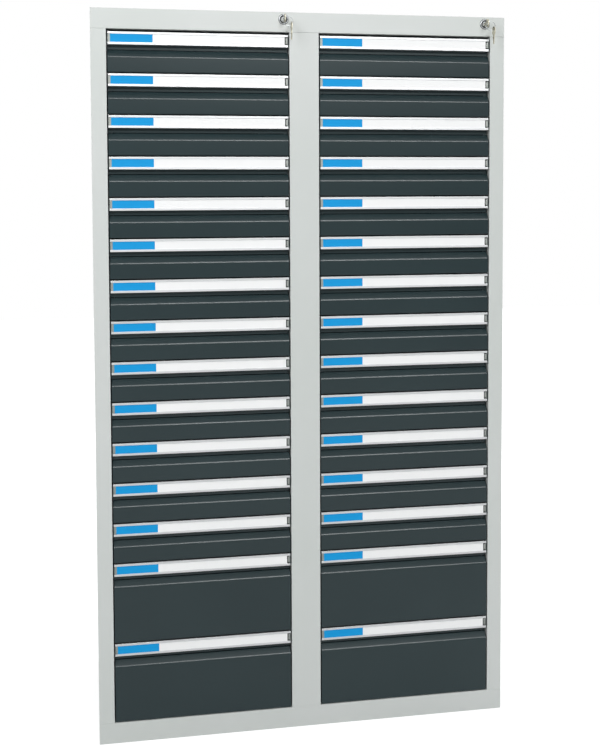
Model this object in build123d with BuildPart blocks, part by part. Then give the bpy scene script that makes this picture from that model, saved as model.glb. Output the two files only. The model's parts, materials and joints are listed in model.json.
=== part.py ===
from build123d import *
import math
import os

# Industrial drawer cabinet: a folded steel case with two columns of drawers, each column
# with its own cam lock and locking bar. Millimetres, +Z up, +X to the right, front faces -Y.
# The origin is the middle of the base's footprint.

# Front layout, from the outside in
stile_width = 37.5
opening_width = 446.0
post_width = 74.0
top_rail_height = 48.5
bottom_rail_height = 51.0
small_front_height = 97.0
tall_front_height = 197.0
small_count = 13
tall_count = 2
row_gap = 3.0
head_gap = 7.0
foot_gap = 1.5
side_gap = 2.5
case_depth = 500.0

# Case sheet metal
case_sheet = 1.0
return_depth = 45.0
return_lip = 12.0
rail_return = 20.0
rear_flange = 20.0
upright_back_gap = 20.0
upright_length = 40.0
upright_foot = 12.0
centre_upright_length = 60.0

# Drawer front
front_set_back = 0.5
strip_height = 30.5
strip_depth = 14.0
strip_wall = 1.0
strip_lip_height = 4.5
strip_lip_thickness = 1.2
card_slot = 1.0
card_thickness = 0.8
card_margin = 0.8
card_end_left = 5.5
card_end_right = 9.0
recess_back_height = 9.5
recess_slope_height = 18.0
panel_sheet = 1.0
front_wall_thickness = 1.0
front_wall_margin = 1.5

# Drawer tray
tray_sheet = 0.8
tray_clearance = 13.0
tray_length = 440.0
tray_top_drop = 14.0
tray_foot_rise = 6.0
tray_hem = 8.0

# Runners on the case and slide rails on the drawers
runner_drop = 20.0
runner_height = 22.0
runner_depth = 12.0
runner_sheet = 1.2
runner_start = 34.0
runner_rear_gap = 22.0
slide_sheet = 1.2
slide_clearance = 0.3
slide_web_gap = 0.8
slide_start = 40.0
slide_length = 400.0

# Lock, measured from the opening's right edge and from the case's top
lock_inset = 14.5
lock_drop = 17.5
lock_flange_radius = 12.0
lock_flange_thickness = 2.0
lock_flange_round = 0.8
lock_body_radius = 9.0
lock_body_length = 20.0
lock_hole_clearance = 0.1
nut_flats = 24.0
nut_thickness = 4.0
plug_radius = 6.0
plug_clearance = 0.05
plug_recess = 0.5
plug_tail = 2.0
tang_side = 6.0
cam_gap = 2.0
cam_thickness = 2.0
cam_low_radius = 6.0
cam_hub_half = 5.2
cam_follower_gap = 0.3
cam_runout = math.radians(12)
cam_turn = math.radians(90)
cam_steps = 6
cam_screw_flats = 8.0
cam_screw_height = 2.5

# Key
key_thickness = 2.0
key_blade_height = 7.0
key_blade_length = 17.0
key_clearance = 0.1
key_neck_height = 8.0
key_neck_length = 7.0
key_bow_size = 20.0
key_bow_corner = 5.0
key_hole_radius = 2.5
key_hole_offset = 3.0
key_cut_depth = 1.6
key_cut_pitch = 3.2
key_cut_count = 4

# Key ring, which leans to the right so that the spare key hangs clear of the drawers
ring_radius = 11.5
ring_width = 1.2
ring_thickness = 1.4
ring_lean = math.radians(45)
ring_key_angle = math.radians(45)

# Locking bar
bar_travel = 6.0
bar_offset = 3.0
bar_width = 10.0
bar_thickness = 2.0
bar_arm_height = 3.0
bar_arm_reach = 6.0
bar_foot_gap = 6.0
finger_drop = 66.0
finger_height = 7.0
finger_reach = 9.0
finger_slot_clearance = 1.0
hook_thickness = 2.0
hook_inset = 6.0
hook_neck_drop = 50.0
hook_neck_height = 7.0
hook_head_height = 8.0
hook_head_thickness = 2.0
hook_head_play = 2.0
guide_sheet = 1.2
guide_clearance = 0.4
guide_height = 14.0
guide_count = 3
guide_drop = 20.0

# Derived places
overrun = 1.0
front_heights = [small_front_height] * small_count + [tall_front_height] * tall_count
row_count = len(front_heights)
opening_height = head_gap + sum(front_heights) + (row_count - 1) * row_gap + foot_gap
case_height = bottom_rail_height + opening_height + top_rail_height
case_width = 2 * stile_width + 2 * opening_width + post_width
half_width = case_width / 2
front_y = -case_depth / 2
back_y = case_depth / 2
opening_bottom = bottom_rail_height
opening_top = case_height - top_rail_height
column_x = (post_width + opening_width) / 2
column_centres = {"left": -column_x, "right": column_x}
right_edges = {name: x + opening_width / 2 for name, x in column_centres.items()}
front_tops = [
    opening_top - head_gap - sum(front_heights[:row]) - row * row_gap for row in range(row_count)
]
front_width = opening_width - 2 * side_gap
tray_width = opening_width - 2 * tray_clearance
lock_z = case_height - lock_drop
lock_places = [(edge - lock_inset, lock_z) for edge in right_edges.values()]
tang_start = lock_body_length + plug_tail
cam_start = lock_body_length + plug_tail + cam_gap
finger_y = front_y + cam_start
ring_y = front_y - lock_flange_thickness - key_neck_length - key_bow_size / 2 - key_hole_offset
hook_drop = hook_neck_drop + hook_neck_height


def save(shape, name):
    shape.label = name
    export_step(shape, f"parts/{name}.step")


def box_between(low, high):
    """A box from its lowest to its highest corner, added to the builder that is open."""
    size = [high[i] - low[i] for i in range(3)]
    middle = [(high[i] + low[i]) / 2 for i in range(3)]
    with Locations(tuple(middle)):
        return Box(*size)


# Side panels: the wall, the folded front stile and the rear flange are one sheet
def side_panel(name, side):
    wall_out = side * half_width
    wall_in = wall_out - side * case_sheet
    edge = wall_out - side * stile_width
    return_face = edge + side * case_sheet
    lip_end = edge + side * return_lip
    flange_end = wall_out - side * rear_flange
    return_back = front_y + return_depth
    flange_y = back_y - 2 * case_sheet
    with BuildPart() as panel:
        with BuildSketch(Plane.XY.offset(opening_bottom)):
            with BuildLine():
                Polyline(
                    (wall_out, front_y),
                    (edge, front_y),
                    (edge, return_back),
                    (lip_end, return_back),
                    (lip_end, return_back - case_sheet),
                    (return_face, return_back - case_sheet),
                    (return_face, front_y + case_sheet),
                    (wall_in, front_y + case_sheet),
                    (wall_in, back_y),
                    (wall_out, back_y),
                    close=True,
                )
            make_face()
        extrude(amount=opening_height)
        with BuildSketch(Plane.XY.offset(case_sheet)):
            with BuildLine():
                Polyline(
                    (wall_out, front_y + case_sheet),
                    (wall_in, front_y + case_sheet),
                    (wall_in, flange_y),
                    (flange_end, flange_y),
                    (flange_end, flange_y + case_sheet),
                    (wall_in, flange_y + case_sheet),
                    (wall_in, back_y),
                    (wall_out, back_y),
                    close=True,
                )
            make_face()
        extrude(amount=case_height - 2 * case_sheet)
        if name == "right":
            cut_finger_slots(edge)
    save(panel.part, f"{name}_side_panel")


def cut_finger_slots(edge):
    """Slots in the return at an opening's right edge, one for each finger of the locking bar."""
    gap = finger_slot_clearance
    for top in front_tops:
        with Locations(
            (
                edge + case_sheet / 2,
                finger_y + bar_thickness / 2,
                top - finger_drop - finger_height / 2 + bar_travel / 2,
            )
        ):
            Box(
                case_sheet + 2 * overrun,
                bar_thickness + 2 * gap,
                finger_height + bar_travel + 2 * gap,
                mode=Mode.SUBTRACT,
            )


# Top and base: a flat sheet folded into the front rail, whose return stiffens it
def rail_panel(name, face_z, side, rail_height, holes):
    inner_z = face_z - side * case_sheet
    rail_end = face_z - side * rail_height
    wall_gap = half_width - case_sheet
    with BuildPart() as panel:
        with BuildSketch(Plane.YZ.offset(-half_width)):
            with BuildLine():
                Polyline(
                    (front_y, face_z),
                    (back_y, face_z),
                    (back_y, inner_z),
                    (front_y + case_sheet, inner_z),
                    (front_y + case_sheet, rail_end),
                    (front_y, rail_end),
                    close=True,
                )
            make_face()
        extrude(amount=case_width)
        low_z, high_z = sorted((rail_end, rail_end + side * case_sheet))
        box_between(
            (-wall_gap, front_y, low_z),
            (wall_gap, front_y + rail_return, high_z),
        )
        if holes:
            with BuildSketch(Plane.XZ.offset(-front_y - case_sheet)):
                with Locations(*lock_places):
                    Circle(lock_body_radius + lock_hole_clearance)
            extrude(amount=2 * overrun, both=True, mode=Mode.SUBTRACT)
    save(panel.part, name)


def back_panel():
    reach = half_width - case_sheet
    with BuildPart() as panel:
        box_between(
            (-reach, back_y - case_sheet, case_sheet),
            (reach, back_y, case_height - case_sheet),
        )
    save(panel.part, "back_panel")


# Centre post: a folded channel between the two openings
def centre_post():
    half = post_width / 2
    inner = half - case_sheet
    lip = half - return_lip
    back = front_y + return_depth
    with BuildPart() as post:
        with BuildSketch(Plane.XY.offset(opening_bottom)):
            with BuildLine():
                Polyline(
                    (-half, front_y),
                    (half, front_y),
                    (half, back),
                    (lip, back),
                    (lip, back - case_sheet),
                    (inner, back - case_sheet),
                    (inner, front_y + case_sheet),
                    (-inner, front_y + case_sheet),
                    (-inner, back - case_sheet),
                    (-lip, back - case_sheet),
                    (-lip, back),
                    (-half, back),
                    close=True,
                )
            make_face()
        extrude(amount=opening_height)
        cut_finger_slots(-half)
    save(post.part, "centre_post")


# Rear uprights carry the runners' rear ends
def side_rear_upright(name, side):
    rear = back_y - upright_back_gap
    front = rear - upright_length
    wall = side * (half_width - case_sheet)
    edge = side * (half_width - stile_width)
    foot = wall - side * case_sheet
    inner = edge + side * case_sheet
    with BuildPart() as upright:
        with BuildSketch(Plane.XY.offset(case_sheet)):
            with BuildLine():
                Polyline(
                    (wall, front - upright_foot),
                    (wall, front + case_sheet),
                    (inner, front + case_sheet),
                    (inner, rear - case_sheet),
                    (wall, rear - case_sheet),
                    (wall, rear + upright_foot),
                    (foot, rear + upright_foot),
                    (foot, rear),
                    (edge, rear),
                    (edge, front),
                    (foot, front),
                    (foot, front - upright_foot),
                    close=True,
                )
            make_face()
        extrude(amount=case_height - 2 * case_sheet)
    save(upright.part, f"{name}_rear_upright")


def centre_rear_upright():
    half = post_width / 2
    inner = half - case_sheet
    lip = half - return_lip
    rear = back_y - case_sheet
    front = rear - centre_upright_length
    with BuildPart() as upright:
        with BuildSketch(Plane.XY.offset(case_sheet)):
            with BuildLine():
                Polyline(
                    (-half, rear),
                    (half, rear),
                    (half, front),
                    (lip, front),
                    (lip, front + case_sheet),
                    (inner, front + case_sheet),
                    (inner, rear - case_sheet),
                    (-inner, rear - case_sheet),
                    (-inner, front + case_sheet),
                    (-lip, front + case_sheet),
                    (-lip, front),
                    (-half, front),
                    close=True,
                )
            make_face()
        extrude(amount=case_height - 2 * case_sheet)
    save(upright.part, "centre_rear_upright")


# Runners: a channel that opens towards the drawer, from the front return to the rear upright
def runners(name, edge, side):
    start = front_y + runner_start
    length = case_depth - runner_start - runner_rear_gap
    mouth = edge - side * runner_depth
    web = edge - side * runner_sheet
    with BuildPart() as rails:
        for top in front_tops:
            high = top - runner_drop
            low = high - runner_height
            with BuildSketch(Plane.XZ.offset(-start)):
                with BuildLine():
                    Polyline(
                        (edge, low),
                        (edge, high),
                        (mouth, high),
                        (mouth, high - runner_sheet),
                        (web, high - runner_sheet),
                        (web, low + runner_sheet),
                        (mouth, low + runner_sheet),
                        (mouth, low),
                        close=True,
                    )
                make_face()
            extrude(amount=-length)
    save(rails.part, name)


# Drawer, drawn with its front face at y 0, its top at z 0 and its middle at x 0
def label_strip():
    """Aluminium extrusion: two lips hold the card, two webs reach back to the front wall."""
    deep = strip_depth
    lip = strip_lip_thickness
    floor = lip + card_slot
    floor_back = floor + strip_wall
    inside = strip_wall
    with BuildPart() as strip:
        with BuildSketch(Plane.YZ.offset(-front_width / 2)):
            with BuildLine():
                Polyline(
                    (0, 0),
                    (deep, 0),
                    (deep, -inside),
                    (floor_back, -inside),
                    (floor_back, inside - strip_height),
                    (deep, inside - strip_height),
                    (deep, -strip_height),
                    (0, -strip_height),
                    (0, strip_lip_height - strip_height),
                    (lip, strip_lip_height - strip_height),
                    (lip, inside - strip_height),
                    (floor, inside - strip_height),
                    (floor, -inside),
                    (lip, -inside),
                    (lip, -strip_lip_height),
                    (0, -strip_lip_height),
                    close=True,
                )
            make_face()
        extrude(amount=front_width)
    return strip.part


def label_card():
    back = strip_lip_thickness + card_slot
    with BuildPart() as card:
        box_between(
            (card_end_left - front_width / 2, back - card_thickness, strip_wall + card_margin - strip_height),
            (front_width / 2 - card_end_right, back, -strip_wall - card_margin),
        )
    return card.part


def front_wall(height):
    """The sheet behind the strip, the recess and the panel."""
    half = front_width / 2 - front_wall_margin
    with BuildPart() as wall:
        box_between((-half, strip_depth, -height), (half, strip_depth + front_wall_thickness, 0))
    return wall.part


def catch_hook():
    """The hook on the back of the front wall that the locking bar's finger holds by its head."""
    hook_x = opening_width / 2 - hook_inset
    wall_back = strip_depth + front_wall_thickness
    head_front = cam_start + bar_thickness + hook_head_play - front_set_back
    head_back = head_front + hook_head_thickness
    with BuildPart() as hook:
        with BuildSketch(Plane.YZ.offset(hook_x - hook_thickness)):
            with BuildLine():
                Polyline(
                    (wall_back, -hook_neck_drop),
                    (head_back, -hook_neck_drop),
                    (head_back, -hook_drop - hook_head_height),
                    (head_front, -hook_drop - hook_head_height),
                    (head_front, -hook_drop),
                    (wall_back, -hook_drop),
                    close=True,
                )
            make_face()
        extrude(amount=hook_thickness)
    return hook.part


def front_panel(height):
    """Folded sheet under the recess: slope, flat face and bottom flange, with closed ends."""
    slope_top = strip_height + recess_back_height
    slope_end = slope_top + recess_slope_height
    with BuildPart() as panel:
        with BuildSketch(Plane.YZ.offset(-front_width / 2)):
            with BuildLine():
                Polyline(
                    (strip_depth, -slope_top),
                    (0, -slope_end),
                    (0, -height),
                    (strip_depth, -height),
                    close=True,
                )
            make_face()
        extrude(amount=front_width)
        back_face = panel.faces().sort_by(Axis.Y)[-1]
        offset(amount=-panel_sheet, openings=back_face)
    return panel.part


def tray(height):
    """One folded sheet: the bottom and both sides, with a hem turned in along the top."""
    half = tray_width / 2
    inner = half - tray_sheet
    hem = half - tray_hem
    top = -tray_top_drop
    bottom = tray_foot_rise - height
    start = strip_depth + front_wall_thickness
    with BuildPart() as body:
        with BuildSketch(Plane.XZ.offset(-start)):
            with BuildLine():
                Polyline(
                    (-half, bottom),
                    (half, bottom),
                    (half, top),
                    (hem, top),
                    (hem, top - tray_sheet),
                    (inner, top - tray_sheet),
                    (inner, bottom + tray_sheet),
                    (-inner, bottom + tray_sheet),
                    (-inner, top - tray_sheet),
                    (-hem, top - tray_sheet),
                    (-hem, top),
                    (-half, top),
                    close=True,
                )
            make_face()
        extrude(amount=-tray_length)
    return body.part


def rear_wall(height):
    half = tray_width / 2 - tray_sheet
    back = strip_depth + front_wall_thickness + tray_length
    with BuildPart() as wall:
        box_between(
            (-half, back - tray_sheet, tray_foot_rise + tray_sheet - height),
            (half, back, -tray_top_drop - tray_sheet),
        )
    return wall.part


def slide_rail(side):
    """The channel on the tray's side that runs in the case's runner."""
    inner = side * tray_width / 2
    web = inner + side * slide_sheet
    outer = side * (opening_width / 2 - runner_sheet - slide_web_gap)
    high = -runner_drop - runner_sheet - slide_clearance
    low = -runner_drop - runner_height + runner_sheet + slide_clearance
    with BuildPart() as rail:
        with BuildSketch(Plane.XZ.offset(-slide_start)):
            with BuildLine():
                Polyline(
                    (inner, low),
                    (inner, high),
                    (outer, high),
                    (outer, high - slide_sheet),
                    (web, high - slide_sheet),
                    (web, low + slide_sheet),
                    (outer, low + slide_sheet),
                    (outer, low),
                    close=True,
                )
            make_face()
        extrude(amount=-slide_length)
    return rail.part


def drawers():
    common = [label_strip(), label_card(), catch_hook(), slide_rail(-1), slide_rail(1)]
    pieces = {
        height: [front_wall(height), front_panel(height), tray(height), rear_wall(height), *common]
        for height in (small_front_height, tall_front_height)
    }
    for name, x in column_centres.items():
        for row, height in enumerate(front_heights):
            place = Location((x, front_y + front_set_back, front_tops[row]))
            solids = [piece.moved(place).solid() for piece in pieces[height]]
            save(Compound(solids), f"{name}_drawer_{row + 1:02d}")


# Lock housings: a flanged barrel through the top rail, held by a nut behind the sheet
def lock_housings():
    with BuildPart() as housings:
        with BuildSketch(Plane.XZ.offset(-front_y)):
            with Locations(*lock_places):
                Circle(lock_flange_radius)
        extrude(amount=lock_flange_thickness)
        rims = housings.faces().group_by(Axis.Y)[0].edges()
        chamfer(rims, length=lock_flange_round)
        with BuildSketch(Plane.XZ.offset(-front_y)):
            with Locations(*lock_places):
                Circle(lock_body_radius)
        extrude(amount=-lock_body_length)
        with BuildSketch(Plane.XZ.offset(-front_y + lock_flange_thickness)):
            with Locations(*lock_places):
                Circle(plug_radius + plug_clearance)
        extrude(amount=-lock_flange_thickness - lock_body_length, mode=Mode.SUBTRACT)
    save(housings.part, "lock_housings")


def lock_nuts():
    with BuildPart() as nuts:
        with BuildSketch(Plane.XZ.offset(-front_y - case_sheet)):
            with Locations(*lock_places):
                RegularPolygon(nut_flats / 2, 6, major_radius=False)
                Circle(lock_body_radius, mode=Mode.SUBTRACT)
        extrude(amount=-nut_thickness)
    save(nuts.part, "lock_nuts")


# Plug: a round barrel with the keyway in front and a square tang behind
def lock_plug(name, x):
    front = front_y - lock_flange_thickness + plug_recess
    keyway = key_thickness + 2 * key_clearance
    with BuildPart() as plug:
        with BuildSketch(Plane.XZ.offset(-front)):
            with Locations((x, lock_z)):
                Circle(plug_radius)
        extrude(amount=front - front_y - tang_start)
        with BuildSketch(Plane.XZ.offset(-front_y - tang_start)):
            with Locations((x, lock_z)):
                Rectangle(tang_side, tang_side)
        extrude(amount=-cam_gap - cam_thickness)
        with BuildSketch(Plane.XZ.offset(-front)):
            with Locations((x, lock_z)):
                Rectangle(keyway, key_blade_height + 2 * key_clearance)
        extrude(amount=-key_blade_length - key_clearance, mode=Mode.SUBTRACT)
    save(plug.part, f"{name}_lock_plug")


# Cam: its edge is an involute, so that a flat arm on top of it rises evenly with the turn
def lock_cam(name, x):
    rise = bar_travel / cam_turn
    hub = cam_hub_half

    def on_involute(turn):
        """A point of the edge, for a turn counted clockwise from straight up."""
        reach = cam_low_radius + rise * turn
        across = reach * math.sin(turn) + rise * math.cos(turn)
        up = reach * math.cos(turn) - rise * math.sin(turn)
        return (x + across, lock_z + up)

    first = -cam_runout
    last = cam_turn + cam_runout
    edge = [on_involute(first + (last - first) * i / cam_steps) for i in range(cam_steps + 1)]
    with BuildPart() as cam:
        with BuildSketch(Plane.XZ.offset(-front_y - cam_start)):
            with BuildLine():
                Spline(*edge)
                Polyline(edge[-1], (x - hub, lock_z - hub), (x - hub, lock_z + hub), edge[0])
            make_face()
            with Locations((x, lock_z)):
                Rectangle(tang_side, tang_side, mode=Mode.SUBTRACT)
        extrude(amount=-cam_thickness)
    save(cam.part, f"{name}_lock_cam")


def cam_screw(name, x):
    with BuildPart() as screw:
        with BuildSketch(Plane.XZ.offset(-front_y - cam_start - cam_thickness)):
            with Locations((x, lock_z)):
                RegularPolygon(cam_screw_flats / 2, 6, major_radius=False)
        extrude(amount=-cam_screw_height)
    save(screw.part, f"{name}_cam_screw")


# Key, drawn flat in the YZ plane: the blade points to +Y and the bow's hole is at the origin
def key_blank():
    bow_y = key_hole_offset
    neck_y = bow_y + key_bow_size / 2
    shoulder_y = neck_y + key_neck_length
    tip_y = shoulder_y + key_blade_length
    half = key_blade_height / 2
    with BuildPart() as key:
        with BuildSketch(Plane.YZ.offset(-key_thickness / 2)):
            with Locations((bow_y, 0)):
                bow = Rectangle(key_bow_size, key_bow_size)
            chamfer(bow.vertices(), length=key_bow_corner)
            with BuildLine():
                Polyline(
                    (bow_y, -key_neck_height / 2),
                    (shoulder_y, -key_neck_height / 2),
                    (shoulder_y, -half),
                    (tip_y - half, -half),
                    (tip_y, 0),
                    (tip_y - half, half),
                    (shoulder_y, half),
                    (shoulder_y, key_neck_height / 2),
                    (bow_y, key_neck_height / 2),
                    close=True,
                )
            make_face()
            Circle(key_hole_radius, mode=Mode.SUBTRACT)
            for i in range(key_cut_count):
                notch_y = shoulder_y + (i + 1) * key_cut_pitch
                with BuildLine():
                    Polyline(
                        (notch_y - key_cut_depth, -half),
                        (notch_y, key_cut_depth - half),
                        (notch_y + key_cut_depth, -half),
                        close=True,
                    )
                make_face(mode=Mode.SUBTRACT)
        extrude(amount=key_thickness)
    return key.part


def ring_centre(x):
    lean = ring_radius * math.sin(ring_lean)
    return x + lean, lock_z - lean


def keys(name, x):
    blank = key_blank()
    save(blank.moved(Location((x, ring_y, lock_z))), f"{name}_key")
    ring_x, ring_z = ring_centre(x)
    hang_x = ring_x + ring_radius * math.cos(ring_key_angle)
    hang_z = ring_z - ring_radius * math.sin(ring_key_angle)
    place = Location((hang_x, ring_y, hang_z), (-90, 0, 0))
    save(blank.moved(place), f"{name}_spare_key")


def key_ring(name, x):
    with BuildPart() as ring:
        with BuildSketch(Plane.XZ.offset(-ring_y - ring_thickness / 2)):
            with Locations(ring_centre(x)):
                Circle(ring_radius + ring_width / 2)
                Circle(ring_radius - ring_width / 2, mode=Mode.SUBTRACT)
        extrude(amount=ring_thickness)
    save(ring.part, f"{name}_key_ring")


# Locking bar: a flat strip in the stile's channel, with an arm welded to its top that lies over
# the cam, and a finger welded to its edge for each drawer
def locking_bar(name, edge):
    left = edge + bar_offset
    back = finger_y + bar_thickness
    arm_low = lock_z + cam_low_radius + cam_follower_gap
    arm_high = arm_low + bar_arm_height
    arm_tip = edge - lock_inset - bar_arm_reach
    corners = [
        ((left, finger_y, opening_bottom + bar_foot_gap), (left + bar_width, back, arm_high)),
        ((arm_tip, finger_y, arm_low), (left, back, arm_high)),
    ]
    for top in front_tops:
        finger_top = top - finger_drop
        corners.append(
            ((edge - finger_reach, finger_y, finger_top - finger_height), (left, back, finger_top))
        )
    solids = []
    for low, high in corners:
        with BuildPart() as piece:
            box_between(low, high)
        solids.append(piece.part.solid())
    save(Compound(solids), f"{name}_locking_bar")


# Guides: folded straps on the inside of the return, around the bar
def bar_guides():
    gap = guide_clearance
    with BuildPart() as guides:
        for edge in right_edges.values():
            wall = edge + case_sheet
            reach = edge + bar_offset + bar_width + gap
            front = finger_y - gap
            back = finger_y + bar_thickness + gap
            for top in front_tops[1 : small_count : small_count // guide_count + 1]:
                with BuildSketch(Plane.XY.offset(top - guide_drop - guide_height)):
                    with BuildLine():
                        Polyline(
                            (wall, front - guide_sheet),
                            (reach + guide_sheet, front - guide_sheet),
                            (reach + guide_sheet, back + guide_sheet),
                            (wall, back + guide_sheet),
                            (wall, back),
                            (reach, back),
                            (reach, front),
                            (wall, front),
                            close=True,
                        )
                    make_face()
                extrude(amount=guide_height)
    save(guides.part, "bar_guides")


os.makedirs("parts", exist_ok=True)
side_panel("left", -1)
side_panel("right", 1)
rail_panel("top_panel", case_height, 1, top_rail_height, True)
rail_panel("base_panel", 0, -1, bottom_rail_height, False)
back_panel()
centre_post()
side_rear_upright("left", -1)
side_rear_upright("right", 1)
centre_rear_upright()
runners("left_outer_runners", -half_width + stile_width, -1)
runners("left_inner_runners", -post_width / 2, 1)
runners("right_inner_runners", post_width / 2, -1)
runners("right_outer_runners", half_width - stile_width, 1)
drawers()
lock_housings()
lock_nuts()
bar_guides()
for column, column_edge in right_edges.items():
    lock_x = column_edge - lock_inset
    lock_plug(column, lock_x)
    lock_cam(column, lock_x)
    cam_screw(column, lock_x)
    keys(column, lock_x)
    key_ring(column, lock_x)
    locking_bar(column, column_edge)
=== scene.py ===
# %% [markdown]
# # Industrial drawer cabinet
# A tall workshop cabinet, folded from thin steel sheet, with thirty drawers in two columns.
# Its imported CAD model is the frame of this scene: it says where each piece sits and what moves.
# Blender adds what CAD leaves out: rounded folds, finishes, small fasteners and the studio.

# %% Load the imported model
import json
import math

import bmesh
import bpy
from mathutils import Matrix, Vector

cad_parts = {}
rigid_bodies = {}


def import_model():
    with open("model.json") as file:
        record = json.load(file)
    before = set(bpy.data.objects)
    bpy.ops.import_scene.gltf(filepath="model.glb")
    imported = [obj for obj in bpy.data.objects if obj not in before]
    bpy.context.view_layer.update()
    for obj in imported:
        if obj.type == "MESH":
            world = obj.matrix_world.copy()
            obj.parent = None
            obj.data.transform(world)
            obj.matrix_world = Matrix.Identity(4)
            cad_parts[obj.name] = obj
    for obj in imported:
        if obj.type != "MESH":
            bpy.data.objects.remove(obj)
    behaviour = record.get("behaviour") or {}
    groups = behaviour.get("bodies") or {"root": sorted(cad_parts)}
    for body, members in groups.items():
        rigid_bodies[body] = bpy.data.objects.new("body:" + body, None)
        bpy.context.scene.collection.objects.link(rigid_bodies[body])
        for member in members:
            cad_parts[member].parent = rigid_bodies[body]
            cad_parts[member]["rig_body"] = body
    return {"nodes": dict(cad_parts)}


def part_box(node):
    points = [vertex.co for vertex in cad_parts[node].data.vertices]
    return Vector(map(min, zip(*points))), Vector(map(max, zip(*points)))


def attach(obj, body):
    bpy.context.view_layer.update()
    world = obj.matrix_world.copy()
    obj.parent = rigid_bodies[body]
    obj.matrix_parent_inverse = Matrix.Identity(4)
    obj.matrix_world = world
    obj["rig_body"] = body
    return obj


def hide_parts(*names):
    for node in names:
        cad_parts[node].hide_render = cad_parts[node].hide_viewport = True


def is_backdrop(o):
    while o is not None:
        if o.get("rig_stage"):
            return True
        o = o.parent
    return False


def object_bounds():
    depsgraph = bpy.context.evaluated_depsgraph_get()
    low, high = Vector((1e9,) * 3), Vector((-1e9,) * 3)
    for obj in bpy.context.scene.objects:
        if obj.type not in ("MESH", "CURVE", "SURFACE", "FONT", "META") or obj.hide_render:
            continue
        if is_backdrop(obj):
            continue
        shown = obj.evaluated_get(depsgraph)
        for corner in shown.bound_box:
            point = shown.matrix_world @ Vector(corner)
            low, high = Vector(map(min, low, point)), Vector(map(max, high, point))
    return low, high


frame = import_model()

MM = 0.001
cad_low, cad_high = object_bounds()
print("box in mm", [round(v / MM, 1) for v in (*cad_low, *cad_high)])

# %% [markdown]
# The drawers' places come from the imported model, so that nothing is typed in twice.
# A drawer has its own zero point: the middle of its front face's top edge.

# %% Measure where the drawers are
drawers = {}
for node in sorted(frame["nodes"]):
    if "_drawer_" in node:
        low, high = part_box(node)
        place = Vector(((low.x + high.x) / 2, low.y, high.z))
        drawers[node] = {"place": place, "height": round((high.z - low.z) / MM)}
front_heights = sorted({drawer["height"] for drawer in drawers.values()})
print(len(drawers), "drawers with front heights in mm", front_heights)

# %% [markdown]
# Colours are read off as screen colours, and shaders work in linear light.
# One function turns the first into the second, so each finish is written as it is seen.

# %% Turn a screen colour into linear light
toe, knee, lift, gamma = 0.04045, 12.92, 0.055, 2.4


def hex_colour(text):
    """A colour such as #D7DCDA as the linear red, green, blue and alpha of a shader."""
    shares = [int(text[i : i + 2], 16) / 255 for i in (1, 3, 5)]
    linear = [c / knee if c <= toe else ((c + lift) / (1 + lift)) ** gamma for c in shares]
    return (*linear, 1.0)


print("middle grey", [round(c, 3) for c in hex_colour("#808080")])

# %% [markdown]
# Every finish and every repeated piece is a tree of nodes. One small function adds a node,
# sets its options and its sockets' values, and links it to what comes before it.

# %% Add a node to a tree


def add_node(tree, kind, values=None, links=None, **options):
    """Adds a node. values are its sockets' own values, links are the outputs it reads."""
    node = tree.nodes.new(kind)
    for name, value in options.items():
        setattr(node, name, value)
    for socket, value in (values or {}).items():
        node.inputs[socket].default_value = value
    for socket, output in (links or {}).items():
        tree.links.new(output, node.inputs[socket])
    return node


def new_finish(name, values):
    """A material with one Principled shader, and the place on the piece for its patterns."""
    material = bpy.data.materials.new(name)
    material.use_nodes = True
    tree = material.node_tree
    shader = tree.nodes["Principled BSDF"]
    for socket, value in values.items():
        shader.inputs[socket].default_value = value
    place = add_node(tree, "ShaderNodeTexCoord").outputs["Object"]
    return material, tree, shader, place


print("ready to add nodes and finishes")

# %% [markdown]
# ## Powder coat
# Case and fronts are steel sheet with a baked powder coat: a plastic skin, 0.08 mm thick, with
# a satin gloss and a slight orange peel. The peel could be modelled, but it is far too shallow,
# so noise drives a bump. Real peel is 2 mm wide. Here it is 6 mm, or it wouldn't show. The
# locks' black rings use the same coat: painted shade, black where the lock has shade round its
# plug and round its flange, with the same faint unevenness.

# %% Make the powder coats
peel_width = 6 * MM
peel_depth = 0.03 * MM
cloud_width = 350 * MM
cloud_start, cloud_end = 0.35, 0.65
coat_ior = 1.5


def powder_coat(name, colour, clouded, roughness):
    """Satin powder coat. clouded is the colour in the palest of its faint clouds."""
    values = {"Roughness": roughness, "IOR": coat_ior}
    material, tree, shader, place = new_finish(name, values)
    cloud = add_node(tree, "ShaderNodeTexNoise", {"Scale": 1 / cloud_width}, {"Vector": place})
    tint = add_node(tree, "ShaderNodeValToRGB", links={"Fac": cloud.outputs["Fac"]})
    first, last = tint.color_ramp.elements
    first.position, last.position = cloud_start, cloud_end
    first.color, last.color = hex_colour(colour), hex_colour(clouded)
    tree.links.new(tint.outputs["Color"], shader.inputs["Base Color"])
    peel = add_node(
        tree, "ShaderNodeTexNoise", {"Scale": 1 / peel_width, "Detail": 3.0}, {"Vector": place}
    )
    bump = add_node(
        tree,
        "ShaderNodeBump",
        {"Strength": 1.0, "Distance": peel_depth},
        {"Height": peel.outputs["Fac"]},
    )
    tree.links.new(bump.outputs["Normal"], shader.inputs["Normal"])
    return material


grey_coat = powder_coat("light_grey_powder_coat", "#CFD4D1", "#D3D7D5", 0.42)
dark_coat = powder_coat("anthracite_powder_coat", "#1E2F32", "#223336", 0.3)
# Painted shade: black for the lock rings that darken the groove round each plug and the rail round
# each flange.
lock_shade_black = powder_coat("black_for_painted_shade_at_locks", "#0E1012", "#131517", 0.5)
print("made", grey_coat.name, dark_coat.name, "and", lock_shade_black.name)

# %% [markdown]
# ## Galvanised steel
# Runners, rails and uprights are cut from sheet that was dipped in zinc, which cools into
# crystals, the spangle, 8 to 15 mm wide. A Voronoi pattern has such cells: each cell gets its
# own grey and its own gloss, so the sheet looks dull in one crystal and bright in the next.
# Nuts, cams, bars and rivets are plated with zinc instead, with marks only 2 mm wide.

# %% Make galvanised and zinc-plated steel
spangle_width = 12 * MM
plating_width = 2 * MM


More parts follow.
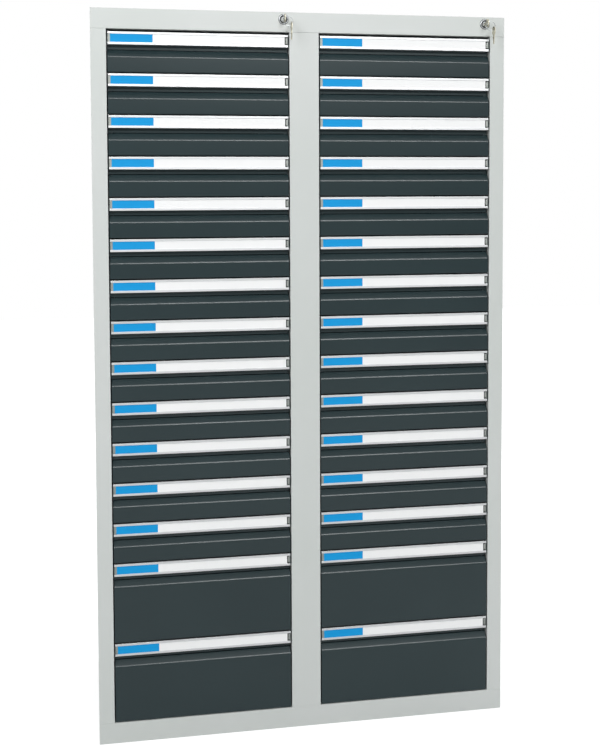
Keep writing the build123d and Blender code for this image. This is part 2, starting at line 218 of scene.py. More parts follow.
def zinc_steel(name, dull, bright, cell_width, smooth, rough):
    """Zinc on steel: crystals of one width, between two greys and two roughnesses."""
    material, tree, shader, place = new_finish(name, {"Metallic": 1.0})
    cells = add_node(tree, "ShaderNodeTexVoronoi", {"Scale": 1 / cell_width}, {"Vector": place})
    grey = add_node(tree, "ShaderNodeValToRGB", links={"Fac": cells.outputs["Color"]})
    first, last = grey.color_ramp.elements
    first.color, last.color = hex_colour(dull), hex_colour(bright)
    gloss = add_node(
        tree,
        "ShaderNodeMapRange",
        {"To Min": rough, "To Max": smooth},
        {"Value": cells.outputs["Color"]},
    )
    tree.links.new(grey.outputs["Color"], shader.inputs["Base Color"])
    tree.links.new(gloss.outputs["Result"], shader.inputs["Roughness"])
    return material


galvanised = zinc_steel("galvanised_steel_sheet", "#A4A9AD", "#C2C6C9", spangle_width, 0.34, 0.52)
zinc_plate = zinc_steel(
    "bright_zinc_plated_steel", "#B9C0C6", "#CDD2D6", plating_width, 0.22, 0.34
)
print("made", galvanised.name, "and", zinc_plate.name)

# %% [markdown]
# ## Anodised aluminium and bright plating
# The label strip is an extruded aluminium profile, brushed along its length and anodised clear:
# near white, with fine lines. The lines are 0.2 mm apart on the real one and 1.5 mm here.
# Lock and keys are plated. Handling leaves faint marks on them, which only change the gloss.

# %% Make the bright metals
brush_length = 300 * MM
brush_width = 1.5 * MM
lock_marks, key_marks, ring_marks = 5 * MM, 4 * MM, 3 * MM
noise_low, noise_high = 0.3, 0.7


def brushed_metal(name, colour, length, width, smooth, rough):
    """Metal with lines along X. Equal length and width give handling marks instead."""
    values = {"Metallic": 1.0, "Base Color": hex_colour(colour)}
    material, tree, shader, place = new_finish(name, values)
    scale = (1 / length, 1 / width, 1 / width)
    lines = add_node(tree, "ShaderNodeMapping", {"Scale": scale}, {"Vector": place})
    noise = add_node(
        tree,
        "ShaderNodeTexNoise",
        {"Scale": 1.0, "Detail": 4.0},
        {"Vector": lines.outputs["Vector"]},
    )
    gloss = add_node(
        tree,
        "ShaderNodeMapRange",
        {"From Min": noise_low, "From Max": noise_high, "To Min": smooth, "To Max": rough},
        {"Value": noise.outputs["Fac"]},
    )
    tree.links.new(gloss.outputs["Result"], shader.inputs["Roughness"])
    return material


strip_aluminium = brushed_metal(
    "clear_anodised_aluminium", "#E4E6E7", brush_length, brush_width, 0.42, 0.55
)
# The floor between the lips is matt and a darker grey. The darker grey is partly painted shade,
# the shade that the lips cast on the floor.
strip_floor_painted_shade = brushed_metal(
    "matt_aluminium_with_painted_shade", "#A6ABA7", brush_length, brush_width, 0.5, 0.62
)
chrome = brushed_metal(
    "satin_chrome_on_zinc_casting", "#BFC3C6", lock_marks, lock_marks, 0.34, 0.44
)
nickel = brushed_metal("nickel_plated_brass", "#D2CDB9", key_marks, key_marks, 0.26, 0.38)
ring_steel = brushed_metal(
    "nickel_plated_spring_wire", "#9DA1A3", ring_marks, ring_marks, 0.26, 0.36
)
print("made", [m.name for m in (strip_aluminium, strip_floor_painted_shade, chrome, nickel, ring_steel)])

# %% [markdown]
# ## Label card
# The card is a white plastic film with a matt face, and a field printed in blue at its left.
# Print is only ink on the same sheet, so both share the gloss and the faint mottle.

# %% Make card and print
mottle_width = 25 * MM
film_roughness = 0.7
film_ior = 1.4


def printed_sheet(name, colour, mottled):
    """Matt plastic film or the ink on it. mottled is the colour in its palest spots."""
    values = {"Roughness": film_roughness, "IOR": film_ior}
    material, tree, shader, place = new_finish(name, values)
    noise = add_node(tree, "ShaderNodeTexNoise", {"Scale": 1 / mottle_width}, {"Vector": place})
    tint = add_node(tree, "ShaderNodeValToRGB", links={"Fac": noise.outputs["Fac"]})
    first, last = tint.color_ramp.elements
    first.color, last.color = hex_colour(colour), hex_colour(mottled)
    tree.links.new(tint.outputs["Color"], shader.inputs["Base Color"])
    return material


card_white = printed_sheet("white_label_card", "#F8F9F9", "#FAFBFB")
card_blue = printed_sheet("blue_printed_field", "#009ADD", "#009DE1")
print("made", card_white.name, "and", card_blue.name)

# %% [markdown]
# ## Pieces
# A piece is edited as a shape, turned into a mesh and put into the scene. Then it gets its
# finishes and rides on the body that carries it, and the CAD nodes it stands for are hidden.

# %% Put a shape into the scene


def to_mesh(shape, name):
    """Turns a shape that is still being edited into a mesh."""
    mesh = bpy.data.meshes.new(name)
    shape.to_mesh(mesh)
    shape.free()
    return mesh


def new_object(name, data):
    """Puts a mesh, a lamp or a camera into the scene."""
    item = bpy.data.objects.new(name, data)
    bpy.context.scene.collection.objects.link(item)
    return item


def add_piece(name, mesh, finishes, body, nodes=()):
    """Puts a mesh into the scene as a piece that rides on a body."""
    for finish in finishes:
        mesh.materials.append(finish)
    piece = new_object(name, mesh)
    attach(piece, body)
    if nodes:
        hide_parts(*nodes)
    return piece


# %% [markdown]
# ## Rounding what CAD leaves sharp
# Bending leaves a round fold, and a shear leaves a cut edge with only a trace of rounding.
# The case's own meshes are copied and merged, flat triangles become whole faces, and each edge
# gets a weight. A Bevel modifier then rounds folds and cut edges by their own amount, and a
# Weighted Normal modifier keeps the wide faces flat, so that only the folds shade round.
# A fold lies between two wide faces, and a cut edge beside one as narrow as the sheet.

# %% Round the edges of a copy of a CAD node
merge_distance = 0.001 * MM
same_height = 0.01 * MM
case_sheet = 1 * MM
flat_angle = math.radians(1)
sharp_angle = math.radians(30)
sheet_limit = 2.5 * MM


def round_edges(piece, width, segments):
    """Rounds each edge by its weight's share of the width."""
    rounding = piece.modifiers.new("rounded edges", "BEVEL")
    rounding.limit_method = "WEIGHT"
    rounding.width = width
    rounding.segments = segments


def face_width(face):
    """How wide a long face is: a sheet's cut edge is about as wide as the sheet is thick."""
    return 2 * face.calc_area() / face.calc_perimeter()


def softened_copy(node, finish, fold, cut, sheet=case_sheet, segments=3, trims=None):
    """A CAD node's shape with folds of one radius and cut edges of another.

    trims are the heights of ends that are cut a trace short, each with its step up or down.
    Returns how many edges are folds.
    """
    shape = bmesh.new()
    shape.from_mesh(frame["nodes"][node].data)
    for height, step in (trims or {}).items():
        for vert in shape.verts:
            if abs(vert.co.z - height) < same_height:
                vert.co.z += step
    bmesh.ops.remove_doubles(shape, verts=shape.verts, dist=merge_distance)
    bmesh.ops.dissolve_limit(
        shape, angle_limit=flat_angle, verts=shape.verts[:], edges=shape.edges[:]
    )
    weight = shape.edges.layers.float.new("bevel_weight_edge")
    folds = 0
    for edge in shape.edges:
        if len(edge.link_faces) != 2 or edge.calc_face_angle() < sharp_angle:
            continue
        is_fold = min(face_width(face) for face in edge.link_faces) > sheet_limit
        folds += is_fold
        bend = fold if edge.is_convex else max(fold - sheet, cut)
        edge[weight] = (bend if is_fold else cut) / max(fold, cut)
    for face in shape.faces:
        face.smooth = True
        face.material_index = 0
    mesh = to_mesh(shape, f"{node}_soft")
    body = frame["nodes"][node]["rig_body"]
    piece = add_piece(mesh.name, mesh, [finish], body, [node])
    round_edges(piece, max(fold, cut), segments)
    piece.modifiers.new("flat faces", "WEIGHTED_NORMAL")
    return folds


print("edges sharper than", round(math.degrees(sharp_angle)), "degrees are rounded")

# %% [markdown]
# ## Case
# Side panels, top, base and post are 1 mm sheet. The folds at the openings have a radius of
# 2 mm and catch the light as thin bright lines. Cut edges keep only a trace of rounding.
# Stiles and post are cut 0.3 mm short at both rails, which shows as a fine joint line.

# %% Round the case
panel_fold = 2 * MM
cut_round = 0.45 * MM
joint_gap = 0.3 * MM
post_low, post_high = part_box("centre_post")
short_ends = {post_low.z: joint_gap, post_high.z: -joint_gap}
case_trims = {
    "left_side_panel": short_ends,
    "right_side_panel": short_ends,
    "centre_post": short_ends,
    "top_panel": {},
    "base_panel": {},
}
for node, trims in case_trims.items():
    count = softened_copy(node, grey_coat, panel_fold, cut_round, trims=trims)
    print(node, "has", count, "fold edges")

# %% [markdown]
# The back panel is one flat sheet. Uprights, runners and the locking bars' guides are folded
# from galvanised strip and stay bare. They show when a drawer is open.

# %% Round back panel, uprights, guides and runners
upright_fold = 1.2 * MM
runner_fold = 1.4 * MM
runner_sheet = 1.2 * MM
zinc_cut = 0.2 * MM
softened_copy("back_panel", grey_coat, cut_round, cut_round)
upright_nodes = ["left_rear_upright", "centre_rear_upright", "right_rear_upright", "bar_guides"]
for node in upright_nodes:
    softened_copy(node, galvanised, upright_fold, zinc_cut, segments=2)
columns = ("left", "right")
runner_nodes = [f"{side}_{part}_runners" for side in columns for part in ("inner", "outer")]
for node in runner_nodes:
    softened_copy(
        node, galvanised, runner_fold, zinc_cut, runner_sheet, segments=2
    )
print("rounded the back panel and", len(upright_nodes) + len(runner_nodes), "nodes in the case")

# %% [markdown]
# ## Locks and keys
# The round plug turns in its housing, with the cam behind it. Key and spare key are punched
# from brass and plated. The edges of all these are broken, so 0.25 mm of rounding does for all.

# %% Round locks, keys and the parts behind the rail
edge_break = 0.25 * MM
softened_copy("lock_nuts", zinc_plate, edge_break, edge_break)
for side in columns:
    softened_copy(f"{side}_lock_plug", chrome, edge_break, edge_break)
    for key in (f"{side}_key", f"{side}_spare_key"):
        softened_copy(key, nickel, edge_break, edge_break)
    for part in (f"{side}_lock_cam", f"{side}_cam_screw", f"{side}_locking_bar"):
        softened_copy(part, zinc_plate, edge_break, edge_break, segments=2)
print("rounded nuts, plugs, keys, cams, screws and locking bars of", len(columns), "locks")

# %% [markdown]
# ## Drawer sheet metal
# Each drawer is built in its own zero point as a set of profiles, which are pulled to length
# as an extrusion press or a press brake makes them. A profile's corners are rounded first:
# a fold has the sheet's thickness between its inner and its outer radius. A stretch that is
# hardly longer than the sheet is thick is a cut end, and its two corners get only a trace.

# %% Draw a profile with rounded corners
fold_steps = 4
cut_steps = 2
end_share = 1.6


def rounded_profile(points, fold, cut, sheet):
    """Rounds each corner of a closed profile: folds by their radius, cut ends by a trace."""
    corners = [Vector(point) for point in points]
    area = sum(a.x * b.y - b.x * a.y for a, b in zip(corners, corners[1:] + corners[:1]))
    rounded = []
    for i, corner in enumerate(corners):
        before = corners[i - 1] - corner
        after = corners[(i + 1) % len(corners)] - corner
        is_end = min(before.length, after.length) < end_share * sheet
        is_convex = (after.x * before.y - before.x * after.y) * area > 0
        radius = cut if is_end else fold if is_convex else max(fold - sheet, cut)
        half = before.angle(after) / 2
        reach = radius / math.tan(half)
        start = corner + before.normalized() * reach
        end = corner + after.normalized() * reach
        inward = (before.normalized() + after.normalized()).normalized()
        centre = corner + inward * (radius / math.sin(half))
        steps = cut_steps if is_end else fold_steps
        for step in range(steps + 1):
            spoke = (start - centre).lerp(end - centre, step / steps)
            rounded.append(centre + spoke.normalized() * radius)
    return rounded


def plate_profile(left, right, bottom, top, corner):
    """A flat plate's outline, with all four corners rounded alike."""
    corners = [(left, bottom), (right, bottom), (right, top), (left, top)]
    return rounded_profile(corners, corner, corner, 0)


def with_mirror(points, low_and_high):
    """Points and their mirror image. low_and_high is the sum of a pair's two heights."""
    return points + [(across, low_and_high - up) for across, up in reversed(points)]


print("folds are drawn in", fold_steps, "steps and cut ends in", cut_steps)

# %% [markdown]
# A pulled profile is a prism: two end faces, and a side face for each stretch of the outline.
# It could be carved out of a cube instead, but the outline is what a maker draws.

# %% Pull a profile to length
AXES = {"x": (1, 2, 0), "y": (0, 2, 1)}


def pull(shape, profile, axis, start, end):
    """Adds a closed prism: the profile, drawn across an axis, pulled along it."""
    first, second, along = AXES[axis]
    rings = []
    for reach in (start, end):
        ring = []
        for point in profile:
            place = [0.0, 0.0, 0.0]
            place[first], place[second], place[along] = point[0], point[1], reach
            ring.append(shape.verts.new(place))
        rings.append(ring)
    faces = [shape.faces.new(rings[0]), shape.faces.new(rings[1])]
    for i in range(len(profile)):
        faces.append(shape.faces.new((rings[0][i - 1], rings[0][i], rings[1][i], rings[1][i - 1])))
    for face in faces:
        face.smooth = True


def as_mesh(shape, name):
    """Turns the shape's faces outwards and makes it a mesh with sharp edges marked."""
    bmesh.ops.recalc_face_normals(shape, faces=shape.faces[:])
    mesh = to_mesh(shape, name)
    mesh.set_sharp_from_angle(angle=sharp_angle)
    return mesh


print("profiles can be pulled along", " and ".join(AXES))

# %% [markdown]
# ## Lock housings
# A housing is die-cast and plated: a flange with a round rim, a groove round the plug, and a
# barrel through the rail. The groove's floor is black as painted shade, and a black ring under
# the flange, a little wider than it, is painted shade round the flange.
# All of it is round, so half a section is drawn once and turned round the lock's middle.

# %% Draw half a section of the housing and of the black painted-shade ring under its flange
flange_radius = 12 * MM
flange_thickness = 2 * MM
bore_radius = 6.05 * MM
barrel_radius = 9 * MM
barrel_length = 20 * MM
under_flange_shade_radius = 13 * MM
under_flange_shade_thickness = 0.3 * MM
collar_radius = 6.4 * MM
collar_thickness = 1.9 * MM
groove_inside, groove_outside = 6.5 * MM, 9.5 * MM
groove_floor = 0.5 * MM
groove_mouth = 9.9 * MM
# How far each point of the round rim lies inwards from the edge and back from the face, in mm.
rim_points = ((0, 1.1), (0.3, 0.45), (0.9, 0.1), (1.4, 0))
# A point is a radius and a depth, and what stands in front of the rail has a depth below zero.
housing_section = [
    (bore_radius, barrel_length),
    (barrel_radius, barrel_length),
    (barrel_radius, -under_flange_shade_thickness),
    (flange_radius, -under_flange_shade_thickness),
    *((flange_radius - x * MM, y * MM - flange_thickness) for x, y in rim_points),
    (groove_mouth, -flange_thickness),
    (groove_outside, -groove_floor),
    (groove_inside, -groove_floor),
    (collar_radius, -collar_thickness),
    (bore_radius, -collar_thickness),
]
# Painted shade: a black ring under the flange, a little wider than it, darkens the rail round the
# flange.
under_flange_shade_section = [
    (barrel_radius, 0),
    (under_flange_shade_radius, 0),
    (under_flange_shade_radius, -under_flange_shade_thickness),
    (barrel_radius, -under_flange_shade_thickness),
]
print("half sections have", len(housing_section), "and", len(under_flange_shade_section), "corners")

# %% [markdown]
# The section is turned as on a lathe. On the front of the housing, the faces between two radii
# are black, as painted shade in the groove. The ring under the flange is black all over, as
# painted shade round the flange.

# %% Turn both lock housings
lock_low, lock_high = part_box("lock_housings")
lock_z = (lock_low.z + lock_high.z) / 2
rail_front = lock_low.y + flange_thickness
front_limit = rail_front + 0.1 * MM
turn_steps = 64
cast_round, cast_cut, cast_step = 0.12 * MM, 0.05 * MM, 0.1 * MM
# Painted shade: the front faces between these radii are black, so that the groove round the plug
# looks dark.
groove_shade_radii = (6.35 * MM, 9.8 * MM)
all_over = (0, math.inf)


def turn_section(shape, section, x, shade_radii):
    """Turns a half section round a lock's middle. shade_radii are the radii between which its
    front is black, as painted shade.
    """
    rings = []
    for radius, depth in rounded_profile(section, cast_round, cast_cut, cast_step):
        ring = []
        for step in range(turn_steps):
            turn = 2 * math.pi * step / turn_steps
            across, up = radius * math.sin(turn), radius * math.cos(turn)
            ring.append(shape.verts.new((x + across, rail_front + depth, lock_z + up)))
        rings.append(ring)
    for i, ring in enumerate(rings):
        for step in range(turn_steps):
            corners = (rings[i - 1][step - 1], rings[i - 1][step], ring[step], ring[step - 1])
            face = shape.faces.new(corners)
            middle = face.calc_center_median()
            radius = math.hypot(middle.x - x, middle.z - lock_z)
            is_front = middle.y < front_limit
            face.material_index = int(is_front and shade_radii[0] < radius < shade_radii[1])
            face.smooth = True


shape = bmesh.new()
for x in (lock_low.x + flange_radius, lock_high.x - flange_radius):
    turn_section(shape, housing_section, x, groove_shade_radii)
    turn_section(shape, under_flange_shade_section, x, all_over)
mesh = as_mesh(shape, "lock_housings_turned")
finishes = [chrome, lock_shade_black]
add_piece("lock_housings_turned", mesh, finishes, "cabinet", ["lock_housings"])
print("lock housings have", len(mesh.polygons), "faces")

# %% [markdown]
# ## Label strip
# The strip is an aluminium extrusion, 30.5 mm high and 439 mm long. Two lips, 5.4 mm high,
# hold the card in front of a floor, and two webs reach back to the front wall. A press can't
# make a sharp corner, so every corner has a small radius. The lips are brushed. The floor is
# matt and a darker grey, which is partly painted shade from the lips.
# At the right end a U-shaped cut frees a tongue in the floor, which stops the card.

# %% Draw the label strip
front_width = 441 * MM
strip_height = 30.5 * MM
strip_depth = 14 * MM
wall = 1 * MM
lip = 1.2 * MM
lip_height = 5.4 * MM
card_slot = 1 * MM
floor_front = lip + card_slot
floor_back = floor_front + wall
webs = [(0, 0), (strip_depth, 0), (strip_depth, -wall), (floor_back, -wall)]
lips = [
    (0, lip_height - strip_height),
    (lip, lip_height - strip_height),
    (lip, wall - strip_height),
    (floor_front, wall - strip_height),
]
strip_points = with_mirror(webs, -strip_height) + with_mirror(lips, -strip_height)
strip_round = 0.35 * MM
half_front = front_width / 2
end_plate = 1 * MM
half_strip = half_front - end_plate
near_middle = 1 * MM
shape = bmesh.new()
profile = rounded_profile(strip_points, strip_round, strip_round, wall)
pull(shape, profile, "x", -half_strip, half_strip)
# The floor's faces get the darker matt finish, partly as painted shade between the lips.
for face in shape.faces:
    middle = face.calc_center_median()
    face.material_index = int(lip < middle.y < floor_back and abs(middle.x) < near_middle)
whole_strip = as_mesh(shape, "whole_strip")
print("label strip has", len(whole_strip.polygons), "faces")

# %% [markdown]
# The cut is made with a Boolean, as a punch makes it: a U-shaped tool goes through the floor.
# What is left between its legs is the tongue.

# %% Punch the stop's cut
cut_width = 2.2 * MM
cut_inset = 2.4 * MM
cut_length = 6.2 * MM
cut_margin = 0.6 * MM
punch_overrun = 0.5 * MM
cut_right = half_front - cut_inset
cut_left = cut_right - cut_length
cut_low = lip_height + cut_margin - strip_height
lower_leg = [
    (cut_left, cut_low),
    (cut_right, cut_low),
    (cut_right, cut_low + cut_width),
    (cut_left + cut_width, cut_low + cut_width),
]
tool_points = with_mirror(lower_leg, -strip_height)
shape = bmesh.new()
pull(shape, tool_points, "y", floor_front - punch_overrun, floor_back + punch_overrun)
for finish in (strip_aluminium, strip_floor_painted_shade):
    whole_strip.materials.append(finish)
tool = new_object("stop_punch", as_mesh(shape, "stop_punch"))
blank = new_object("strip_blank", whole_strip)
punch = blank.modifiers.new("punch", "BOOLEAN")
punch.operation, punch.solver, punch.object = "DIFFERENCE", "EXACT", tool
evaluated = blank.evaluated_get(bpy.context.evaluated_depsgraph_get())
strip_mesh = bpy.data.meshes.new_from_object(evaluated)
for item in (tool, blank):
    bpy.data.objects.remove(item)
print("punched strip has", len(strip_mesh.polygons), "faces")

# %% [markdown]
# ## Label card
# The card slides in behind the lips from the right. It is 0.8 mm thick, with rounded corners,
# and its blue field is 101.5 mm long. The field is its own face with its own finish.

# %% Draw the label card
card_left = 7.2 * MM - half_front
card_right = half_front - 9 * MM
card_clearance = 0.8 * MM
card_top = -wall - card_clearance
card_bottom = wall + card_clearance - strip_height
card_thickness = 0.8 * MM
card_round = 0.6 * MM
blue_length = 101.5 * MM
square_on = 0.99


def draw_card():
    """The card as one plate, with the printed field as a face of its own."""
    shape = bmesh.new()
    outline = plate_profile(card_left, card_right, card_bottom, card_top, card_round)
    pull(shape, outline, "y", floor_front - card_thickness, floor_front)
    everything = shape.verts[:] + shape.edges[:] + shape.faces[:]
    field_end = (card_left + blue_length, 0, 0)
    bmesh.ops.bisect_plane(shape, geom=everything, plane_co=field_end, plane_no=(1, 0, 0))
    for face in shape.faces:
        face.smooth = False
        in_field = face.calc_center_median().x < field_end[0]
        face.material_index = int(in_field and face.normal.y < -square_on)
    return as_mesh(shape, "label_card")


card_mesh = draw_card()
print("card is", round((card_right - card_left) / MM, 1), "mm long")

# %% [markdown]
# ## Front panel
# Below the grip the front is one folded sheet: a slope that leads the fingers in behind the
# strip, the flat face, a bottom flange, and an end flange on each side. The slope stops short
# of the front wall. Only the outside is drawn, open at the back and above. A Bevel rounds its
# folds, as a press brake would, and Solidify gives the sheet its thickness inwards.

# %% Draw the front panel for a front height
recess_back = 9.5 * MM
recess_slope = 18 * MM
slope_top = strip_height + recess_back
slope_cut = 3.5 * MM
slope_edge = -slope_top - slope_cut
face_fold = 3.6 * MM
foot_fold = 2.4 * MM
end_fold = 1.4 * MM


def fold_radius(edge, height):
    """The ends fold tightly, the foot less so, and the edge below the grip is the roundest."""
    middle = (edge.verts[0].co + edge.verts[1].co) / 2
    if abs(middle.x) > near_middle:
        return end_fold
    return foot_fold if middle.z < near_middle - height else face_fold


def draw_front_panel(height):
    """The outer skin of a front, as high as the front, with a weight on each of its folds."""
    shape = bmesh.new()
    corners = [
        (strip_depth * (1 - slope_cut / recess_slope), slope_edge),
        (0, -slope_top - recess_slope),
        (0, -height),
        (strip_depth, -height),
        (strip_depth, slope_edge),
    ]
    pull(shape, corners, "x", -half_front, half_front)
    bmesh.ops.recalc_face_normals(shape, faces=shape.faces[:])
    open_sides = [f for f in shape.faces if max(f.normal.y, f.normal.z) > square_on]
    bmesh.ops.delete(shape, geom=open_sides, context="FACES")
    weight = shape.edges.layers.float.new("bevel_weight_edge")
    for edge in shape.edges:
        if len(edge.link_faces) == 2:
            edge[weight] = fold_radius(edge, height) / face_fold
    return to_mesh(shape, "front_panel")


panel_meshes = {height: draw_front_panel(height * MM) for height in front_heights}
print("front panels for", list(panel_meshes))

# %% [markdown]
# ## Drawer body
# Behind the front sits the tray: bottom and sides are one sheet with a hem turned in along
# the top, where fingers reach in. The front wall and the rear wall are welded in. The front
# wall has a thin plate at each end of the strip, and a seam where the slope stops, which is
# the dark line in the grip. The whole drawer is coated after welding, in its front's colour.

# %% Draw the drawer body for a front height
tray_half = 210 * MM
tray_sheet = 0.8 * MM
tray_start = strip_depth + wall
tray_length = 440 * MM
tray_top = -14 * MM
tray_fold, tray_cut = 1.4 * MM, 0.15 * MM
hem = 8 * MM
tray_foot = 6 * MM
seam = 1.8 * MM
rear_round = 0.6 * MM
wall_round = 0.4 * MM
plate_round = 0.3 * MM
wall_gap = 0.2 * MM
wall_half = half_front - wall_gap


def draw_body(height):
    """Tray, rear wall, front wall in two strips and the strip's end plates, as one mesh."""
    shape = bmesh.new()
    inner = tray_half - tray_sheet
    bottom = tray_foot - height
    tray_points = [
        (-tray_half, bottom),
        (tray_half, bottom),
        (tray_half, tray_top),
        (tray_half - hem, tray_top),
        (tray_half - hem, tray_top - tray_sheet),
        (inner, tray_top - tray_sheet),
        (inner, bottom + tray_sheet),
        (-inner, bottom + tray_sheet),
        (-inner, tray_top - tray_sheet),
        (hem - tray_half, tray_top - tray_sheet),
        (hem - tray_half, tray_top),
        (-tray_half, tray_top),
    ]
    rear = tray_start + tray_length
    profile = rounded_profile(tray_points, tray_fold, tray_cut, tray_sheet)
    pull(shape, profile, "y", tray_start, rear)
    rear_wall = plate_profile(
        -inner, inner, bottom + tray_sheet, tray_top - tray_sheet, rear_round
    )
    pull(shape, rear_wall, "y", rear - tray_sheet, rear)
    for low, high in ((-height, slope_edge), (slope_edge + seam, 0)):
        front_wall = plate_profile(-wall_half, wall_half, low, high, wall_round)
        pull(shape, front_wall, "y", strip_depth, tray_start)
    plate = plate_profile(0, strip_depth, -strip_height, 0, plate_round)
    for start in (-half_front, half_strip):
        pull(shape, plate, "x", start, start + end_plate)
    return as_mesh(shape, "drawer_body")


body_meshes = {height: draw_body(height * MM) for height in front_heights}
print("drawer bodies have", len(body_meshes[front_heights[0]].polygons), "faces")

# %% [markdown]
# ## Slide rails and catch hook
# A channel on each side of the tray runs in the case's runner. The catch hook stands behind
# the front wall: the locking bar's finger comes down behind its head.

# %% Draw the slide rails and the catch hook
rail_high = -21.5 * MM
rail_low = -40.5 * MM
rail_out = 221 * MM
rail_sheet = 1.2 * MM
rail_fold = 1.5 * MM
rail_start, rail_end = 40 * MM, 440 * MM
hook_tip = tray_start + 14.5 * MM
hook_top = -50 * MM
hook_arm, hook_head = 7 * MM, 15 * MM
hook_sheet = 2 * MM
hook_round = 0.4 * MM
hook_place = 215 * MM


def draw_rails():
    """Both channels, mirrored left and right, and the hook at the right, as one mesh."""
    shape = bmesh.new()
    for side in (-1, 1):
        upper_half = [
            (side * tray_half, rail_high),
            (side * rail_out, rail_high),
            (side * rail_out, rail_high - rail_sheet),
            (side * (tray_half + rail_sheet), rail_high - rail_sheet),
        ]
        rail_points = with_mirror(upper_half, rail_high + rail_low)
        profile = rounded_profile(rail_points, rail_fold, zinc_cut, rail_sheet)
        pull(shape, profile, "y", rail_start, rail_end)
    hook_points = [
        (tray_start, hook_top),
        (hook_tip, hook_top),
        (hook_tip, hook_top - hook_head),
        (hook_tip - hook_sheet, hook_top - hook_head),
        (hook_tip - hook_sheet, hook_top - hook_arm),
        (tray_start, hook_top - hook_arm),
    ]
    hook = rounded_profile(hook_points, hook_round, hook_round, wall)
    pull(shape, hook, "x", hook_place, hook_place + hook_sheet)
    return as_mesh(shape, "slide_rails")


rail_mesh = draw_rails()
print("slide rails and hook have", len(rail_mesh.polygons), "faces")

# %% [markdown]
# ## Thirty drawers
# Each drawer gets its own copy of these meshes, moved to its place. A Weighted Normal
# modifier keeps the wide faces flat and lets only the folds shade round.

# %% Put the drawers together
panel_steps = 4


def placed(mesh, place, name):
    """A copy of a mesh, moved to its place inside the mesh, so that its object needn't move."""
    copy = mesh.copy()
    copy.name = name
    copy.transform(Matrix.Translation(place))
    return copy


for node, drawer in drawers.items():
    place, height = drawer["place"], drawer["height"]
    pieces = {
        "strip": (strip_mesh, [], "front_paint"),
        "card": (card_mesh, [card_white, card_blue], "front_paint"),
        "front": (panel_meshes[height], [dark_coat], "front_paint"),
        "body": (body_meshes[height], [dark_coat], "front_paint"),
        "rails": (rail_mesh, [galvanised], "zinc_steel"),
    }
    for part, (mesh, finishes, slot) in pieces.items():
        name = f"{node}_{part}"
        piece = add_piece(name, placed(mesh, place, name), finishes, node, [node])
        if part == "front":
            round_edges(piece, face_fold, panel_steps)
            sheet = piece.modifiers.new("sheet thickness", "SOLIDIFY")
            sheet.thickness = wall
            sheet.offset = -1
            sheet.use_even_offset = True
        piece.modifiers.new("flat faces", "WEIGHTED_NORMAL").keep_sharp = True
print("put together", len(drawers), "drawers")

# %% [markdown]
# ## Split rings
# A split ring is spring wire wound nearly twice round. Its shape follows a rule, so Geometry
# Nodes draw it: a helix, with a flat wire section swept along it. The tree's inputs are the
# ring's sizes, and the result is turned into a plain mesh. Three helpers begin, end and run
# such a tree.

# %% Begin, end and run a tree that makes geometry


def new_tree(name, inputs):
    """A Geometry Nodes tree with named inputs. Returns the tree and its input node."""
    tree = bpy.data.node_groups.new(name, "GeometryNodeTree")
    for label, kind in inputs.items():
        tree.interface.new_socket(name=label, in_out="INPUT", socket_type=kind)
    tree.interface.new_socket(name="Geometry", in_out="OUTPUT", socket_type="NodeSocketGeometry")
    return tree, add_node(tree, "NodeGroupInput")


def end_tree(tree, geometry, finish):
    """Ends a tree: real geometry instead of instances, then the piece's finish."""
    solid = add_node(tree, "GeometryNodeRealizeInstances", links={"Geometry": geometry})
    coated = add_node(
        tree,
        "GeometryNodeSetMaterial",
        links={"Geometry": solid.outputs["Geometry"], "Material": finish},
    )
    add_node(tree, "NodeGroupOutput", links={"Geometry": coated.outputs["Geometry"]})


def run_tree(tree, mesh, values, name):
    """Runs the tree on a mesh, with its inputs set by identifier, and returns a plain mesh."""
    carrier = new_object(name, mesh)
    modifier = carrier.modifiers.new(name, "NODES")
    modifier.node_group = tree
    for socket in tree.interface.items_tree:
        if socket.in_out == "INPUT" and socket.name in values:
            modifier[socket.identifier] = values[socket.name]
    evaluated = carrier.evaluated_get(bpy.context.evaluated_depsgraph_get())
    result = bpy.data.meshes.new_from_object(evaluated)
    carrier.modifiers.remove(modifier)
    bpy.data.objects.remove(carrier)
    return result


print("ready to build trees that make geometry")

# %% [markdown]
# The wire could be modelled turn by turn. A spiral of constant radius is the same shape with
# five sizes for inputs, and a rounded rectangle swept along it gives the rolled wire.

# %% Build the ring tree
ring_radius = 11.5 * MM
ring_turns = 1.75
wire_width = 1.2 * MM
wire_thickness = 0.5 * MM
wire_round = 0.15 * MM
steps_per_turn = 48
ring_sizes = {
    "Radius": ring_radius,
    "Turns": ring_turns,
    "Pitch": wire_thickness,
    "Wire Width": wire_width,
    "Wire Thickness": wire_thickness,
}
ring_inputs = {label: "NodeSocketFloat" for label in ring_sizes}
ring_inputs["Finish"] = "NodeSocketMaterial"
ring_tree, given = new_tree("split_ring", ring_inputs)
rise = add_node(
    ring_tree,
    "ShaderNodeMath",
    links={0: given.outputs["Turns"], 1: given.outputs["Pitch"]},
    operation="MULTIPLY",
)
helix = add_node(
    ring_tree,
    "GeometryNodeCurveSpiral",
    {"Resolution": steps_per_turn},
    {
        "Rotations": given.outputs["Turns"],
        "Start Radius": given.outputs["Radius"],
        "End Radius": given.outputs["Radius"],
        "Height": rise.outputs[0],
    },
)
section = add_node(
    ring_tree,
    "GeometryNodeCurvePrimitiveQuadrilateral",
    links={"Width": given.outputs["Wire Width"], "Height": given.outputs["Wire Thickness"]},
)
rounded_section = add_node(
    ring_tree,
    "GeometryNodeFilletCurve",
    {"Radius": wire_round, "Count": 2},
    {"Curve": section.outputs["Curve"]},
    mode="POLY",
)
wire = add_node(
    ring_tree,
    "GeometryNodeCurveToMesh",
    {"Fill Caps": True},
    {"Curve": helix.outputs["Curve"], "Profile Curve": rounded_section.outputs["Curve"]},
)
